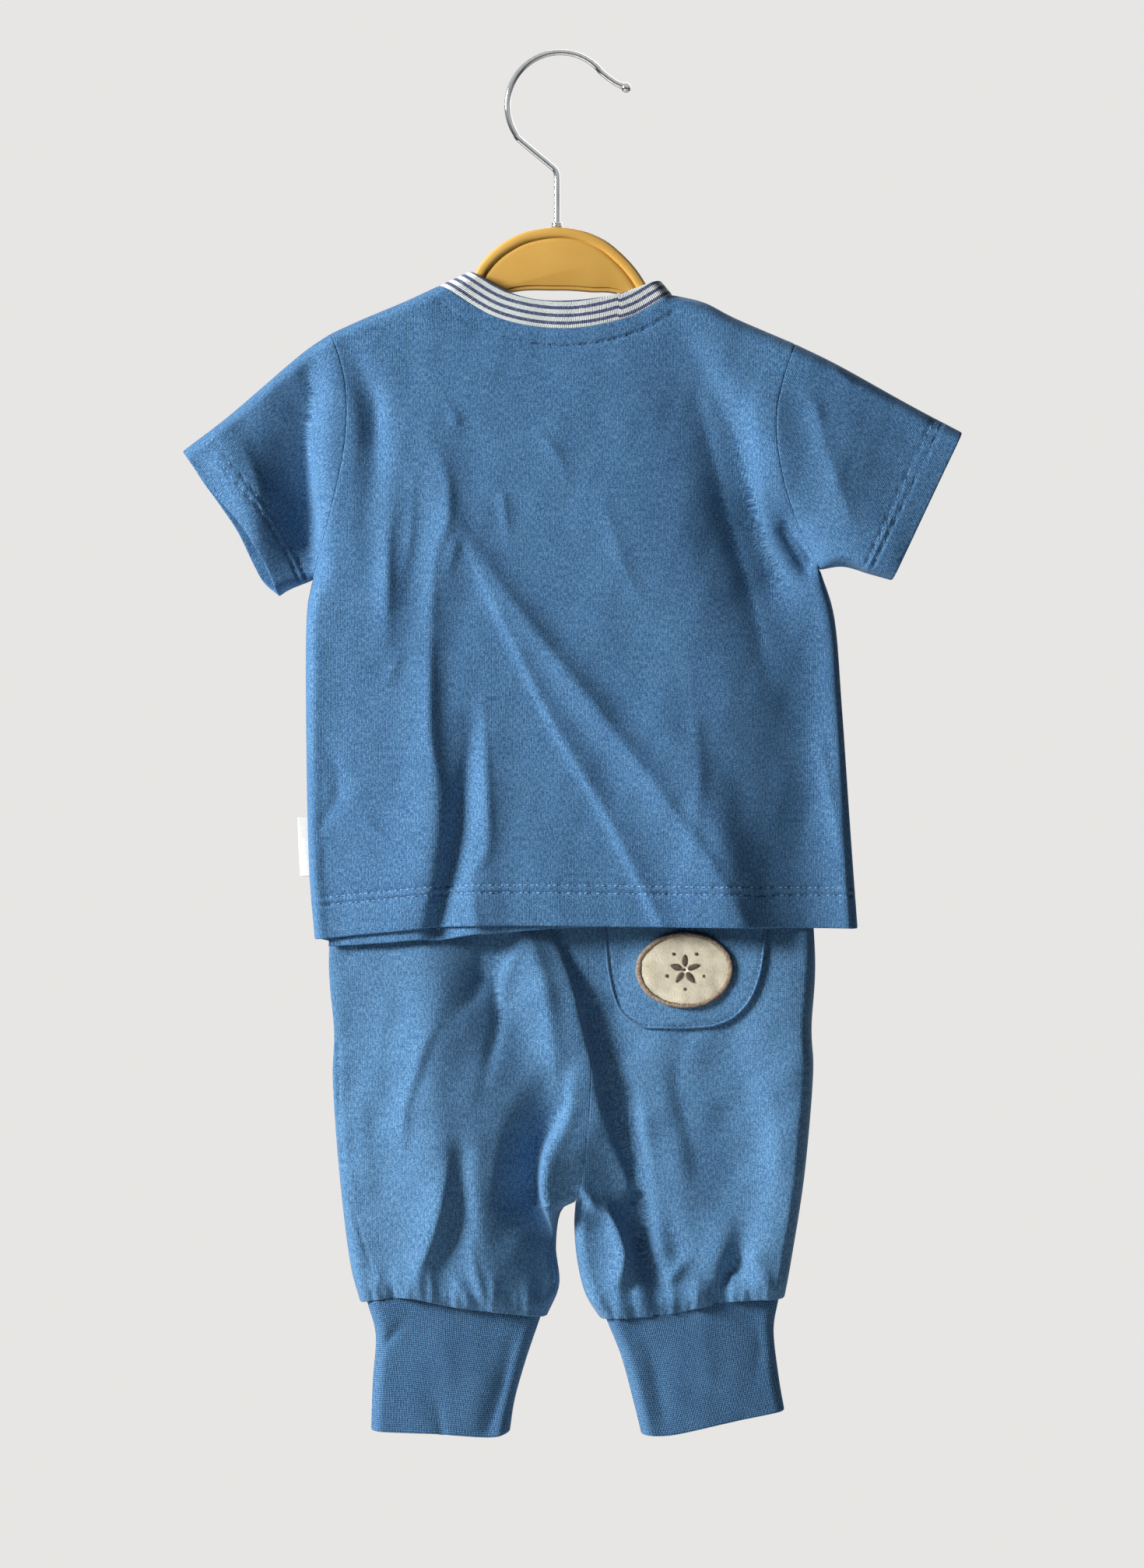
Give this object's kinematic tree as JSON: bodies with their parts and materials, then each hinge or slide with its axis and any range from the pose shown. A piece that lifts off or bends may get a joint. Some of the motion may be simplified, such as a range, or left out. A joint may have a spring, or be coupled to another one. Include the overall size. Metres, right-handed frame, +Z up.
{
  "type": "baby t-shirt and harem trousers on a hanger",
  "caption": "Baby set of a short-sleeved jersey T-shirt with a striped rib neckband over harem trousers with deep rib cuffs, hung backs outward on a child's hanger.",
  "frame": {"origin": "the inner top of the hanger's hook, where it rests on a rail", "axes": "+Z up, +X to the right when looking at the backs of the garments, which face -Y"},
  "size_m": [0.3703, 0.038, 0.6583],
  "materials": {
    "shirt_jersey": "heathered mid-blue cotton jersey with fine vertical wales, matt",
    "trouser_fleece": "mid-blue brushed cotton sweat cloth, slightly fuzzy, matt",
    "cuff_rib": "mid-blue fine rib knit",
    "neck_rib": "off-white rib knit with slate-blue stripes round the neck",
    "waist_elastic": "mid-blue cloth-covered elastic",
    "badge_felt": "cream felt with a grey-brown satin-stitched border",
    "label_satin": "bare white woven label",
    "hanger_plastic": "warm mustard-yellow moulded plastic, smooth, half matt",
    "hook_chrome": "bright chrome wire"
  },
  "bodies": {
    "root": {"shirt_back": "shirt_jersey", "shirt_front": "shirt_jersey", "sleeve_left": "shirt_jersey", "sleeve_right": "shirt_jersey", "neckband": "neck_rib", "side_label": "label_satin", "trousers_back_left": "trouser_fleece", "trousers_back_right": "trouser_fleece", "trousers_front_left": "trouser_fleece", "trousers_front_right": "trouser_fleece", "pocket": "trouser_fleece", "badge": "badge_felt", "waistband": "waist_elastic", "cuff_left": "cuff_rib", "cuff_right": "cuff_rib", "hanger_body": "hanger_plastic", "clip_left": "hanger_plastic", "clip_right": "hanger_plastic", "hook": "hook_chrome", "collar": "hook_chrome", "trouser_bar": "hook_chrome"}
  },
  "joints": []
}
